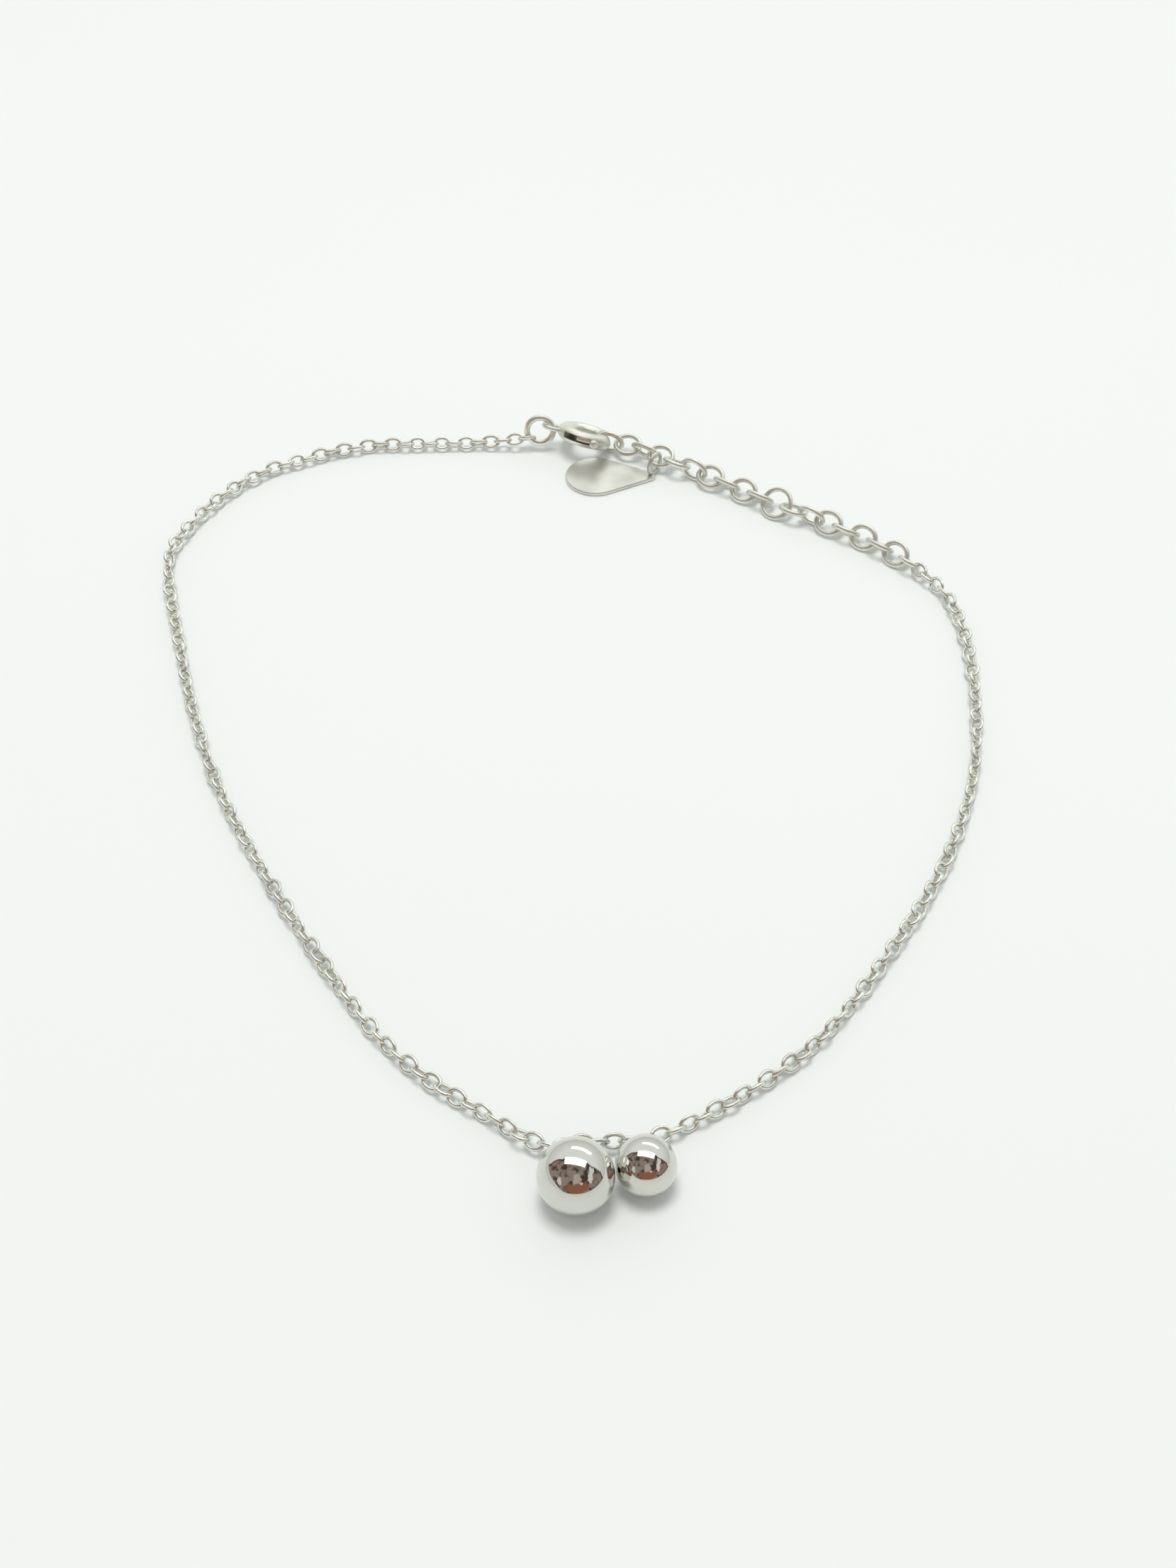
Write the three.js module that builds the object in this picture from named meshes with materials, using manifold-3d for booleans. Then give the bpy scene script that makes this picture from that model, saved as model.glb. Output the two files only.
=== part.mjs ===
// Chain anklet: a fine cable chain with two balls, a spring-ring clasp and an extender with a drop tag.
// Millimetres, +Z up. It lies on the plane z = 0 as a whole loop, with the balls at the front (-Y)
// and the clasp at the back (+Y). The origin is the middle of the loop, on the plane that it lies on.
import * as THREE from 'three';
import { mergeVertices } from 'three/addons/utils/BufferGeometryUtils.js';
import Module from 'manifold-3d';

const wasm = await Module();
wasm.setup();

// Driving dimensions
const LOOP_MIDDLE = { x: 0.2, y: -0.1 };
const FLOOR_GAP = 0.02;
const SMALL_GAP = 0.05;
const END_GAP = 0.12;

const FINE_LINK = { length: 1.7, width: 1.3, wire: 0.29, around: 12, across: 6 };
const FINE_CHAIN = { radius: 0.65, sides: 8, stepLength: 2.6 };
const EXTENDER_LINK = { length: 2.66, width: 2.25, wire: 0.43, pitch: 1.67, around: 14, across: 6 };
const WIDE_LINK = { index: 10, size: 2.95 };
const END_RING = { radius: 0.86, wire: 0.38, rollDeg: 130, around: 14, across: 6 };
const CLASP_RING = { radius: 1.14, wire: 0.55, leanDeg: 18, climbDeg: 15, hookDeg: 218, around: 16, across: 6 };

const LOOP = { radius: 0.55, wire: 0.3, sunk: 0.2, around: 12, across: 6 };
const BALL_SIDES = { around: 16, down: 12 };
const BALLS = [
  { name: 'large', radius: 2.5, x: 1.67, y: -40.31, towardsChain: [-0.2, 0.93, -0.3] },
  { name: 'small', radius: 2.0, x: 6.13, y: -39.13, towardsChain: [0.03, 0.94, -0.345] },
];

const CLASP = {
  x: 2.23,
  y: 40.25,
  ringRadius: 1.85,
  tubeRadius: 0.65,
  boreRadius: 0.5,
  leanDeg: 27,
  leanTowards: [0.56, 0.828],
  mouthFromDeg: -25,
  mouthToDeg: 35,
  boreEndDeg: -174,
  stepDeg: 10,
  across: 12,
};
const EYE = { radius: 0.8, wire: 0.36, sunk: 0.5, around: 14, across: 6 };
const BOLT = { radius: 0.38, tailDeg: -112, tipGapDeg: 2, travelDeg: 58, hookDeg: -5, hookGap: 0.13, across: 10 };
const KNOB = { angleDeg: -75, stemRadius: 0.2, headRadius: 0.36, headLength: 0.6, clearance: 0.07, sides: 12 };
const SLOT = { width: 0.54, spareDeg: 8, stepDeg: 6 };

const TAG = { x: 3.1, y: 36.03, roundRadius: 2.6, tipX: 7.8, tipY: 36.05, tipRadius: 0.5, thickness: 0.35 };
const BAIL = { radius: 0.9, wire: 0.35, setBack: 0.2, around: 14, across: 6 };
const TAG_LINK = 3;

// Routes of the chains between the pieces that they hook on. Columns: x, y, height of the middle
const LEFT_ROUTE = [
  [-0.5, -36.75, 1.1], [-4.4, -33.9, 0.67], [-8.2, -31.0, 0.67], [-11.5, -27.6, 0.67],
  [-16.6, -19.7, 0.67], [-21.2, -11.5, 0.67], [-25.3, -3.0, 0.67], [-28.3, 5.9, 0.67],
  [-30.6, 15.0, 0.67], [-32.0, 21.0, 0.67], [-32.3, 25.2, 0.67], [-31.1, 28.6, 0.67],
  [-28.9, 32.5, 0.67], [-25.8, 35.9, 0.67], [-21.5, 38.3, 0.67], [-17.0, 39.8, 0.67],
  [-12.3, 40.2, 0.67], [-7.6, 40.3, 0.67],
];
const RIGHT_ROUTE = [
  [7.9, -35.4, 0.7], [11.6, -33.1, 0.67], [15.3, -30.3, 0.67], [18.6, -27.0, 0.67],
  [23.8, -19.3, 0.67], [28.2, -11.3, 0.67], [31.3, -2.5, 0.67], [32.6, 6.7, 0.67],
  [32.5, 15.6, 0.67], [31.4, 19.8, 0.7],
];
const EXTENDER_ROUTE = [
  [6.0, 39.25, 1.2], [7.3, 38.55, 1.22], [8.7, 37.6, 1.25], [10.2, 36.6, 1.2],
  [12.0, 35.5, 1.14], [13.9, 34.3, 0.98], [16.0, 32.85, 0.96], [18.9, 30.8, 1.06],
  [21.1, 29.4, 1.12], [23.3, 28.0, 1.02], [25.8, 26.3, 0.95], [27.8, 24.5, 0.95], [29.6, 22.6, 0.95],
];
// How far each extender link is rolled about the chain: 0 stands and faces forward, 90 lies flat
const EXTENDER_ROLLS_DEG = [
  -4, 66, 150, 60, 120, 178, 60, 137, 47, 137, 48, 108, 162, 46, 130, 40, 130, 40,
];

const SILVER = { color: 0xdedede, metalness: 1 };
const FINISHES = {
  polished: new THREE.MeshStandardMaterial({ ...SILVER, roughness: 0.06 }),
  chain: new THREE.MeshStandardMaterial({ ...SILVER, roughness: 0.18 }),
  findings: new THREE.MeshStandardMaterial({ ...SILVER, roughness: 0.14 }),
};

const anklet = new THREE.Group();
anklet.position.set(-LOOP_MIDDLE.x, -LOOP_MIDDLE.y, 0);

function radians(degrees) {
  return THREE.MathUtils.degToRad(degrees);
}

function vector(values) {
  return new THREE.Vector3(...values);
}

// Solids: closed meshes with shared vertices, which can be joined and cut
function solidFrom(geometry) {
  const bare = geometry.clone();
  bare.deleteAttribute('normal');
  bare.deleteAttribute('uv');
  const merged = mergeVertices(bare, 1e-5);
  return new wasm.Manifold(new wasm.Mesh({
    numProp: 3,
    vertProperties: new Float32Array(merged.attributes.position.array),
    triVerts: new Uint32Array(merged.index.array),
  }));
}

function geometryFrom(solid) {
  const mesh = solid.getMesh();
  const geometry = new THREE.BufferGeometry();
  geometry.setAttribute('position', new THREE.BufferAttribute(new Float32Array(mesh.vertProperties), 3));
  geometry.setIndex(new THREE.BufferAttribute(new Uint32Array(mesh.triVerts), 1));
  geometry.computeVertexNormals();
  return geometry;
}

function joined(first, ...others) {
  let solid = solidFrom(first);
  for (const other of others) {
    solid = solid.add(solidFrom(other));
  }
  return geometryFrom(solid);
}

function cut(body, ...tools) {
  let solid = solidFrom(body);
  for (const tool of tools) {
    solid = solid.subtract(solidFrom(tool));
  }
  return geometryFrom(solid);
}

// A closed ring of round wire in the XY plane, round or oval, with its long way along X
function wireRing(halfLength, halfWidth, wireRadius, around, across) {
  const positions = [];
  const index = [];
  for (let i = 0; i < around; i += 1) {
    const turn = (2 * Math.PI * i) / around;
    const outwards = new THREE.Vector2(Math.cos(turn) / halfLength, Math.sin(turn) / halfWidth).normalize();
    const next = (i + 1) % around;
    for (let j = 0; j < across; j += 1) {
      const angle = (2 * Math.PI * j) / across;
      const reach = wireRadius * Math.cos(angle);
      positions.push(
        halfLength * Math.cos(turn) + reach * outwards.x,
        halfWidth * Math.sin(turn) + reach * outwards.y,
        wireRadius * Math.sin(angle),
      );
      const beside = (j + 1) % across;
      const a = i * across + j;
      const b = next * across + j;
      const c = next * across + beside;
      const d = i * across + beside;
      index.push(a, b, c, a, c, d);
    }
  }
  const geometry = new THREE.BufferGeometry();
  geometry.setAttribute('position', new THREE.Float32BufferAttribute(positions, 3));
  geometry.setIndex(index);
  geometry.computeVertexNormals();
  return geometry;
}

function roundRing(ring) {
  return wireRing(ring.radius, ring.radius, ring.wire / 2, ring.around, ring.across);
}

function linkRing(link) {
  const halfLength = (link.length - link.wire) / 2;
  const halfWidth = (link.width - link.wire) / 2;
  return wireRing(halfLength, halfWidth, link.wire / 2, link.around, link.across);
}

// Curves to extrude a round section along
class Arc extends THREE.Curve {
  constructor(radius, fromDeg, toDeg) {
    super();
    this.radius = radius;
    this.from = radians(fromDeg);
    this.to = radians(toDeg);
  }

  getPoint(t, target = new THREE.Vector3()) {
    const angle = this.from + (this.to - this.from) * t;
    return target.set(this.radius * Math.cos(angle), this.radius * Math.sin(angle), 0);
  }
}

class Stretch extends THREE.Curve {
  constructor(route, from, to) {
    super();
    this.route = route;
    this.from = from / route.getLength();
    this.to = to / route.getLength();
  }

  getPoint(t, target = new THREE.Vector3()) {
    return this.route.getPointAt(this.from + (this.to - this.from) * t, target);
  }
}

function roundSection(radius, sides) {
  const section = new THREE.Shape();
  for (let i = 0; i < sides; i += 1) {
    const angle = (2 * Math.PI * (i + 0.5)) / sides;
    const point = [radius * Math.cos(angle), radius * Math.sin(angle)];
    if (i === 0) {
      section.moveTo(...point);
    } else {
      section.lineTo(...point);
    }
  }
  section.closePath();
  return section;
}

function tubeAlong(path, radius, sides, steps) {
  return new THREE.ExtrudeGeometry(roundSection(radius, sides), { steps, extrudePath: path, bevelEnabled: false });
}

function arcTube(radius, fromDeg, toDeg, sides) {
  const steps = Math.round((toDeg - fromDeg) / CLASP.stepDeg);
  return tubeAlong(new Arc(CLASP.ringRadius, fromDeg, toDeg), radius, sides, steps);
}

// A rod from one point to another
function rodBetween(start, end, radius, sides) {
  const along = end.clone().sub(start);
  const geometry = new THREE.CylinderGeometry(radius, radius, along.length(), sides);
  geometry.applyQuaternion(new THREE.Quaternion().setFromUnitVectors(vector([0, 1, 0]), along.normalize()));
  const middle = start.clone().add(end).multiplyScalar(0.5);
  return geometry.translate(middle.x, middle.y, middle.z);
}

function addPiece(name, geometry, finish, centre, xAxis, zAxis) {
  const mesh = new THREE.Mesh(geometry, finish);
  mesh.name = name;
  if (centre) {
    mesh.position.copy(centre);
  }
  if (zAxis) {
    const across = zAxis.clone().cross(xAxis).normalize();
    const along = across.clone().cross(zAxis).normalize();
    mesh.quaternion.setFromRotationMatrix(new THREE.Matrix4().makeBasis(along, across, zAxis));
  }
  anklet.add(mesh);
  return mesh;
}

// The facing of a link that is rolled about the chain's direction
function facing(along, rollDeg) {
  const up = new THREE.Vector3(0, 0, 1);
  up.addScaledVector(along, -up.dot(along)).normalize();
  const front = along.clone().cross(up);
  return front.multiplyScalar(Math.cos(radians(rollDeg))).addScaledVector(up, Math.sin(radians(rollDeg)));
}

// Balls, each with a small loop soldered on its back and the chain link that it hangs on
function addBall(ball) {
  const centre = new THREE.Vector3(ball.x, ball.y, ball.radius + FLOOR_GAP);
  const back = vector(ball.towardsChain).normalize();
  const chainWay = new THREE.Vector3(1, 0, 0).addScaledVector(back, -back.x).normalize();
  const sphere = new THREE.SphereGeometry(ball.radius, BALL_SIDES.around, BALL_SIDES.down);
  sphere.rotateX(Math.PI / 2);
  const loopDistance = ball.radius + LOOP.radius + LOOP.wire / 2 - LOOP.sunk;
  const basis = new THREE.Matrix4().makeBasis(back, chainWay.clone().cross(back), chainWay);
  const loop = roundRing(LOOP).translate(loopDistance, 0, 0).applyMatrix4(basis);
  addPiece(`ball_${ball.name}`, joined(sphere, loop), FINISHES.polished, centre);

  const hook = centre.clone().addScaledVector(back, loopDistance + LOOP.radius);
  const linkFacing = chainWay.clone().cross(back).normalize();
  addPiece(`ball_link_${ball.name}`, linkRing(FINE_LINK), FINISHES.chain, hook, chainWay, linkFacing);
  return hook;
}

// Spring-ring clasp. In its own frame the ring lies in the XY plane and its mouth is at +X
const lean = radians(CLASP.leanDeg);
const claspFacing = new THREE.Vector3(
  CLASP.leanTowards[0] * Math.sin(lean),
  CLASP.leanTowards[1] * Math.sin(lean),
  Math.cos(lean),
).normalize();
const claspHeight = CLASP.ringRadius * Math.sin(lean) + CLASP.tubeRadius + FLOOR_GAP;
const claspCentre = new THREE.Vector3(CLASP.x, CLASP.y, claspHeight);
const claspBack = claspFacing.clone().cross(new THREE.Vector3(1, 0, 0)).normalize();
const claspRight = claspBack.clone().cross(claspFacing);

function onClasp(radius, degrees) {
  return claspCentre.clone()
    .addScaledVector(claspRight, radius * Math.cos(radians(degrees)))
    .addScaledVector(claspBack, radius * Math.sin(radians(degrees)));
}

function inRing(radius, degrees) {
  return new THREE.Vector3(radius * Math.cos(radians(degrees)), radius * Math.sin(radians(degrees)), 0);
}

function slotTool() {
  const from = KNOB.angleDeg + SLOT.spareDeg;
  const to = KNOB.angleDeg - BOLT.travelDeg - SLOT.spareDeg;
  const steps = Math.round((from - to) / SLOT.stepDeg);
  const inner = CLASP.ringRadius;
  const outer = CLASP.ringRadius + 2 * CLASP.tubeRadius;
  const shape = new THREE.Shape();
  for (let i = 0; i <= steps; i += 1) {
    const point = inRing(outer, from + ((to - from) * i) / steps);
    if (i === 0) {
      shape.moveTo(point.x, point.y);
    } else {
      shape.lineTo(point.x, point.y);
    }
  }
  for (let i = steps; i >= 0; i -= 1) {
    const point = inRing(inner, from + ((to - from) * i) / steps);
    shape.lineTo(point.x, point.y);
  }
  const slot = new THREE.ExtrudeGeometry(shape, { depth: SLOT.width, bevelEnabled: false });
  return slot.translate(0, 0, -SLOT.width / 2);
}

function addClasp() {
  const wholeTurn = 360;
  const shell = arcTube(CLASP.tubeRadius, CLASP.mouthToDeg, CLASP.mouthFromDeg + wholeTurn, CLASP.across);
  const bore = arcTube(CLASP.boreRadius, CLASP.boreEndDeg, CLASP.mouthFromDeg + 1, CLASP.across);
  const hollow = cut(shell, bore, slotTool());
  const eyeDistance = CLASP.ringRadius + CLASP.tubeRadius + EYE.radius + EYE.wire / 2 - EYE.sunk;
  const eye = roundRing(EYE).translate(-eyeDistance, 0, 0);
  const body = joined(hollow, eye);
  addPiece('clasp_body', body, FINISHES.findings, claspCentre, claspRight, claspFacing);

  const rod = arcTube(BOLT.radius, BOLT.tailDeg, CLASP.mouthToDeg - BOLT.tipGapDeg, BOLT.across);
  const headStart = CLASP.ringRadius + CLASP.tubeRadius + KNOB.clearance;
  const stem = rodBetween(
    inRing(CLASP.ringRadius, KNOB.angleDeg),
    inRing(headStart + KNOB.headLength / 2, KNOB.angleDeg),
    KNOB.stemRadius,
    KNOB.sides,
  );
  const head = rodBetween(
    inRing(headStart, KNOB.angleDeg),
    inRing(headStart + KNOB.headLength, KNOB.angleDeg),
    KNOB.headRadius,
    KNOB.sides,
  );
  addPiece('clasp_bolt', joined(rod, stem, head), FINISHES.findings, claspCentre, claspRight, claspFacing);
  return onClasp(-eyeDistance, 0);
}

// The jump ring that joins the clasp's eye to the fine chain is held a little up by the eye.
// Its climb is how far up its right side the eye holds it, and its hook is where the chain pulls
function addClaspRing(eyeCentre) {
  const ringLean = radians(CLASP_RING.leanDeg);
  const ringUp = new THREE.Vector3(0, Math.sin(ringLean), Math.cos(ringLean));
  const right = new THREE.Vector3(1, 0, 0);
  const climb = radians(CLASP_RING.climbDeg);
  const centre = eyeCentre.clone()
    .addScaledVector(right, -CLASP_RING.radius * Math.cos(climb))
    .addScaledVector(ringUp, -CLASP_RING.radius * Math.sin(climb));
  addPiece('clasp_ring', roundRing(CLASP_RING), FINISHES.findings, centre, right, right.clone().cross(ringUp));
  const hook = radians(CLASP_RING.hookDeg);
  const sideX = centre.x - CLASP_RING.radius - CLASP_RING.wire / 2;
  const hookY = centre.y + CLASP_RING.radius * ringUp.y * Math.sin(hook);
  return new THREE.Vector3(sideX, hookY, FINE_CHAIN.radius + FLOOR_GAP);
}

// The extender hooks on the clasp's bolt, and its links turn about a quarter from one to the next.
// One of them is a wider, round link
function addExtender() {
  const link = EXTENDER_LINK;
  const hook = onClasp(CLASP.ringRadius, BOLT.hookDeg);
  const route = new THREE.CatmullRomCurve3([hook, ...EXTENDER_ROUTE.map(vector)], false, 'centripetal');
  const routeLength = route.getLength();
  const halfLength = (link.length - link.wire) / 2;
  const firstReach = halfLength - BOLT.radius - link.wire / 2 - BOLT.hookGap;
  const places = [];
  EXTENDER_ROLLS_DEG.forEach((rollDeg, i) => {
    const size = i === WIDE_LINK.index ? { length: WIDE_LINK.size, width: WIDE_LINK.size } : {};
    const at = (firstReach + i * link.pitch) / routeLength;
    const centre = route.getPointAt(at);
    const along = route.getTangentAt(at);
    const name = `extender_link_${String(i + 1).padStart(2, '0')}`;
    const face = facing(along, rollDeg);
    addPiece(name, linkRing({ ...link, ...size }), FINISHES.chain, centre, along, face);
    places.push({ centre, along, face });
  });
  const lastReach = firstReach + (EXTENDER_ROLLS_DEG.length - 1) * link.pitch;
  const ringReach = halfLength + END_RING.radius - (link.wire + END_RING.wire) / 2 - SMALL_GAP;
  const at = (lastReach + ringReach) / routeLength;
  const ringCentre = route.getPointAt(at);
  const ringAlong = route.getTangentAt(at);
  addPiece('end_ring', roundRing(END_RING), FINISHES.findings, ringCentre, ringAlong, facing(ringAlong, END_RING.rollDeg));
  return { places, ringCentre };
}

// The drop tag lies flat, and the bail that is soldered on its tip stands round the side of a link
function addTag(held) {
  const across = held.face.clone().cross(held.along).normalize();
  const halfWidth = (EXTENDER_LINK.width - EXTENDER_LINK.wire) / 2;
  const nearWire = held.centre.clone().addScaledVector(across, -halfWidth);
  const level = new THREE.Vector3(held.along.x, held.along.y, 0).normalize();
  const awayFromTag = new THREE.Vector3(-level.y, level.x, 0);
  const bailCentre = nearWire.clone().addScaledVector(awayFromTag, -BAIL.setBack);
  bailCentre.z = BAIL.radius + BAIL.wire / 2 + FLOOR_GAP;

  const tip = new THREE.Vector2(TAG.tipX - TAG.x, TAG.tipY - TAG.y);
  const spread = Math.acos((TAG.roundRadius - TAG.tipRadius) / tip.length());
  const heading = tip.angle();
  const outline = new THREE.Shape();
  outline.absarc(0, 0, TAG.roundRadius, heading + spread, heading - spread, false);
  outline.absarc(tip.x, tip.y, TAG.tipRadius, heading - spread, heading + spread, false);
  outline.closePath();
  const plate = new THREE.ExtrudeGeometry(outline, { depth: TAG.thickness, bevelEnabled: false, curveSegments: 24 });
  const bailBasis = new THREE.Matrix4().makeBasis(awayFromTag, new THREE.Vector3(0, 0, 1), level);
  const bail = roundRing(BAIL).applyMatrix4(bailBasis);
  bail.translate(bailCentre.x - TAG.x, bailCentre.y - TAG.y, bailCentre.z);
  addPiece('tag', joined(plate, bail), FINISHES.polished, new THREE.Vector3(TAG.x, TAG.y, 0));
}

// Fine chain: a round tube of the chain's own width along each stretch of it
function addFineChain(name, route, startGap, endGap) {
  const length = route.getLength();
  const stretch = new Stretch(route, startGap, length - endGap);
  const steps = Math.round((length - startGap - endGap) / FINE_CHAIN.stepLength);
  addPiece(name, tubeAlong(stretch, FINE_CHAIN.radius, FINE_CHAIN.sides, steps), FINISHES.chain);
}

const ballHooks = BALLS.map(addBall);
const eyeCentre = addClasp();
const ringSide = addClaspRing(eyeCentre);
const extender = addExtender();
addTag(extender.places[TAG_LINK]);

const ballLinkGap = FINE_LINK.length / 2 + END_GAP;
const leftRoute = new THREE.CatmullRomCurve3([ballHooks[0], ...LEFT_ROUTE.map(vector), ringSide], false, 'centripetal');
const middleRoute = new THREE.LineCurve3(ballHooks[0], ballHooks[1]);
const rightRoute = new THREE.CatmullRomCurve3(
  [ballHooks[1], ...RIGHT_ROUTE.map(vector), extender.ringCentre],
  false,
  'centripetal',
);
const endRingGap = END_RING.radius + END_RING.wire / 2 + END_GAP;
addFineChain('chain_left', leftRoute, ballLinkGap, END_GAP);
addFineChain('chain_middle', middleRoute, ballLinkGap, ballLinkGap);
addFineChain('chain_right', rightRoute, ballLinkGap, endRingGap);

export default anklet;
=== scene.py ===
"""Chain anklet in polished silver, lying in a loop on a pale table.

Two balls hang at the front of a fine cable chain. A spring-ring clasp and an extender of larger
oval links close it at the back, and a drop tag lies beside the clasp. Places in the tables are in
millimetres on the layout that the anklet was measured on; the pieces are made in metres.
"""

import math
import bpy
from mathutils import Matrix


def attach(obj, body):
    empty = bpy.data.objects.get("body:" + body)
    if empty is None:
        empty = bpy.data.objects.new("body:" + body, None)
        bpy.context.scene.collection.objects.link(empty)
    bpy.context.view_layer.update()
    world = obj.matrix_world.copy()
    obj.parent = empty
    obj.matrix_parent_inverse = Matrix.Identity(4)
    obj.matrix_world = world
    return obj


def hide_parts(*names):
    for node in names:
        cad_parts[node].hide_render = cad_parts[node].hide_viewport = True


bl_info = {
    "name": "Chain Anklet",
    "version": (1, 0, 0),
    "blender": (4, 5, 0),
    "location": "View3D > Sidebar > Anklet",
    "description": "Builds a fine chain anklet with two balls, a spring-ring clasp and a drop tag",
    "category": "Add Mesh",
}

from bisect import bisect_right
from collections import namedtuple

import bpy
from bpy.props import FloatProperty, FloatVectorProperty, IntProperty, PointerProperty
from mathutils import Matrix, Vector

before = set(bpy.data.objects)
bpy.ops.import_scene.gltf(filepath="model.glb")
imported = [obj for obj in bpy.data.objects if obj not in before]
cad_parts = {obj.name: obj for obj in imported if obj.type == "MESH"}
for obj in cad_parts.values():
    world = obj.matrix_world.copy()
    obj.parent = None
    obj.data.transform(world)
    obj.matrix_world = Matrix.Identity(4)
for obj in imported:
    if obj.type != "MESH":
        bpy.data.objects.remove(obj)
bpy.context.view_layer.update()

MM = 0.001
LOOP_MIDDLE = Vector((0.2, -0.1, 0.0))
FLOOR_GAP = 0.02
SMALL_GAP = 0.05

FINE_WIRE_GAP = 0.03
EXTENDER_PITCH = 1.67
WIDE_LINK = 10
END_RING_RADIUS = 0.86
END_RING_WIRE = 0.38
END_RING_ROLL = 130
CLASP_RING_RADIUS = 1.14
CLASP_RING_WIRE = 0.55
CLASP_RING_LEAN = 18
CLASP_RING_CLIMB = 15
CLASP_RING_HOOK = 218

# The two balls, each with the way from its middle to the chain
Ball = namedtuple("Ball", "name radius place way")
BALLS = [
    Ball("large", 2.5, (1.67, -40.31), (-0.2, 0.93, -0.3)),
    Ball("small", 2.0, (6.13, -39.13), (0.03, 0.94, -0.345)),
]
BALL_ROWS = 64
BALL_SIDES = 96
LOOP_RADIUS = 0.55
LOOP_WIRE = 0.3
LOOP_SUNK = 0.2

CLASP_PLACE = (2.23, 40.25)
CLASP_RADIUS = 1.85
CLASP_TUBE = 0.65
CLASP_BORE = 0.5
CLASP_LEAN = 27
CLASP_LEAN_TOWARDS = (0.56, 0.828)
MOUTH_FROM = -25
MOUTH_TO = 35
BORE_END = -174
EYE_RADIUS = 0.8
EYE_WIRE = 0.36
EYE_SUNK = 0.5
BOLT_RADIUS = 0.38
BOLT_TAIL = -112
BOLT_TIP_GAP = 2
BOLT_TRAVEL = 58
BOLT_HOOK = -5
BOLT_HOOK_GAP = 0.13
KNOB_ANGLE = -75
KNOB_STEM = 0.2
KNOB_HEAD = 0.36
KNOB_LENGTH = 0.6
KNOB_CLEARANCE = 0.07
SLOT_WIDTH = 0.54
SLOT_SPARE = 8

TAG_PLACE = (3.1, 36.03)
TAG_TIP = (7.8, 36.05)
TAG_ROUND = 2.6
TAG_TIP_RADIUS = 0.5
BAIL_RADIUS = 0.9
BAIL_WIRE = 0.35
BAIL_SET_BACK = 0.2
TAG_LINK = 3

# Routes of the chains. Columns: x, y, height of the middle
LEFT_ROUTE = [
    (-0.5, -36.75, 1.1), (-4.4, -33.9, 0.67), (-8.2, -31.0, 0.67), (-11.5, -27.6, 0.67),
    (-16.6, -19.7, 0.67), (-21.2, -11.5, 0.67), (-25.3, -3.0, 0.67), (-28.3, 5.9, 0.67),
    (-30.6, 15.0, 0.67), (-32.0, 21.0, 0.67), (-32.3, 25.2, 0.67), (-31.1, 28.6, 0.67),
    (-28.9, 32.5, 0.67), (-25.8, 35.9, 0.67), (-21.5, 38.3, 0.67), (-17.0, 39.8, 0.67),
    (-12.3, 40.2, 0.67), (-7.6, 40.3, 0.67),
]
RIGHT_ROUTE = [
    (7.9, -35.4, 0.7), (11.6, -33.1, 0.67), (15.3, -30.3, 0.67), (18.6, -27.0, 0.67),
    (23.8, -19.3, 0.67), (28.2, -11.3, 0.67), (31.3, -2.5, 0.67), (32.6, 6.7, 0.67),
    (32.5, 15.6, 0.67), (31.4, 19.8, 0.7),
]
EXTENDER_ROUTE = [
    (6.0, 39.25, 1.2), (7.3, 38.55, 1.22), (8.7, 37.6, 1.25), (10.2, 36.6, 1.2),
    (12.0, 35.5, 1.14), (13.9, 34.3, 0.98), (16.0, 32.85, 0.96), (18.9, 30.8, 1.06),
    (21.1, 29.4, 1.12), (23.3, 28.0, 1.02), (25.8, 26.3, 0.95), (27.8, 24.5, 0.95),
    (29.6, 22.6, 0.95),
]
# How far each extender link is rolled about the chain: 0 stands and faces forward, 90 lies flat
EXTENDER_ROLLS = [-4, 66, 150, 60, 120, 178, 60, 137, 47, 137, 48, 108, 162, 46, 130, 40, 130, 40]

CAMERA_PLACE = (2.45, -129.3, 122.83)
CAMERA_DOWN = 44.03
CAMERA_LENS = 53.9

# The silvers of the balls, the fine chain, the clasp with the extender, and the tag.
# Columns: name, clean colour, dulled colour, roughness, scratches, ripple
SILVERS = [
    ("mirror_silver", "silver", "tarnish", 0.04, 0.02, 0.1),
    ("drawn_silver", "matt_silver", "silver", 0.22, 0.1, 0.5),
    ("tumbled_silver", "matt_silver", "silver", 0.34, 0.08, 0.4),
    ("brushed_silver", "silver", "tarnish", 0.36, 0.08, 0.4),
]

TABLE_REACH = 3.0
TABLE_DROP = 0.00001
# Painted shade: the table's colour is scaled by this towards the camera
TABLE_PAINTED_NEAR_SHADE = 0.94
TABLE_LIGHT = (0.58, 0.58, 0.58, 1)

# What the silver mirrors: a pale wall all round, and a dim room towards the camera
WALL_LOW = (0.64, 0.65, 0.63, 1)
WALL_HIGH = (0.89, 0.91, 0.88, 1)
ROOM_WAY = (-0.2, -1.0, 0.1)
ROOM_DARK = (0.07, 0.052, 0.045, 1)
ROOM_LIGHT = (0.31, 0.25, 0.22, 1)
ROOM_EDGE = (0.05, 0.04, 0.04, 1)

# Patches of the dim room that the silver mirrors. Columns: direction, reach on each axis, colour
ROOM_SPOTS = [
    ((0.05, -0.95, 0.27), (0.55, 1.0, 0.28), (0.3, 0.13, 0.08)),
    ((0.05, -0.74, 0.66), (0.22, 1.0, 0.2), (0.52, 0.42, 0.38)),
    ((0.7, -0.37, 0.6), (0.1, 1.0, 0.26), (0.78, 0.76, 0.74)),
    ((-0.72, -0.5, 0.38), (0.09, 1.0, 0.12), (0.72, 0.66, 0.62)),
    ((0.24, -0.84, 0.48), (0.05, 1.0, 0.09), (0.8, 0.68, 0.58)),
]

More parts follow.
